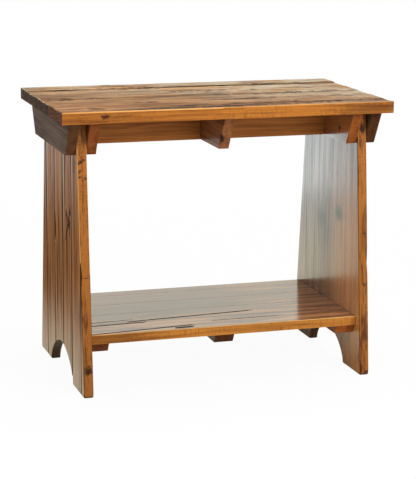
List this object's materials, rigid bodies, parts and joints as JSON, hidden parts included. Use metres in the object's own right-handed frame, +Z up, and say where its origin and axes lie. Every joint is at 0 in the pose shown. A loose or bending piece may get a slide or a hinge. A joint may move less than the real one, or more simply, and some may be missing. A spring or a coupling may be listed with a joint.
{
  "type": "mudroom bench",
  "caption": "Rustic wooden mudroom bench: plank seat on tapered plank end panels with arched feet, cross cleats and a centre rail under the seat, and a low plank shelf for shoes.",
  "frame": {"origin": "on the floor, under the middle of the bench", "axes": "+X along the bench to the right as seen from the front, -Y towards the front, +Z up"},
  "size_m": [0.61, 0.3494, 0.508],
  "materials": {
    "top_wood": "weathered boards under satin varnish, honey sawn edge",
    "panel_wood": "brown boards with V-grooves, satin varnish",
    "shelf_wood": "smooth brown boards, gloss varnish",
    "cleat_wood": "red-brown, satin varnish",
    "rail_wood": "mid brown, satin varnish",
    "batten_wood": "dark red-brown, satin varnish",
    "screw_steel": "dull plated wood screw"
  },
  "bodies": {
    "root": {"top_board_1": "top_wood", "top_board_2": "top_wood", "top_board_3": "top_wood", "top_board_4": "top_wood", "top_board_5": "top_wood", "top_board_6": "top_wood", "left_panel_board_1": "panel_wood", "left_panel_board_2": "panel_wood", "left_panel_board_3": "panel_wood", "left_panel_board_4": "panel_wood", "left_panel_board_5": "panel_wood", "left_panel_board_6": "panel_wood", "right_panel_board_1": "panel_wood", "right_panel_board_2": "panel_wood", "right_panel_board_3": "panel_wood", "right_panel_board_4": "panel_wood", "right_panel_board_5": "panel_wood", "right_panel_board_6": "panel_wood", "shelf_board_1": "shelf_wood", "shelf_board_2": "shelf_wood", "shelf_board_3": "shelf_wood", "shelf_board_4": "shelf_wood", "shelf_board_5": "shelf_wood", "left_outer_cleat": "cleat_wood", "left_inner_cleat": "cleat_wood", "middle_cleat": "cleat_wood", "right_inner_cleat": "cleat_wood", "right_outer_cleat": "cleat_wood", "centre_rail": "rail_wood", "left_batten": "batten_wood", "middle_batten": "batten_wood", "right_batten": "batten_wood", "top_screw_1": "screw_steel", "top_screw_2": "screw_steel", "top_screw_3": "screw_steel", "top_screw_4": "screw_steel", "top_screw_5": "screw_steel", "top_screw_6": "screw_steel", "top_screw_7": "screw_steel", "top_screw_8": "screw_steel", "top_screw_9": "screw_steel", "top_screw_10": "screw_steel", "left_cleat_screw_1": "screw_steel", "left_cleat_screw_2": "screw_steel", "right_cleat_screw_1": "screw_steel", "right_cleat_screw_2": "screw_steel", "shelf_screw_1": "screw_steel", "shelf_screw_2": "screw_steel", "shelf_screw_3": "screw_steel", "shelf_screw_4": "screw_steel", "shelf_screw_5": "screw_steel", "shelf_screw_6": "screw_steel", "left_batten_screw_1": "screw_steel", "left_batten_screw_2": "screw_steel", "right_batten_screw_1": "screw_steel", "right_batten_screw_2": "screw_steel"}
  },
  "joints": []
}
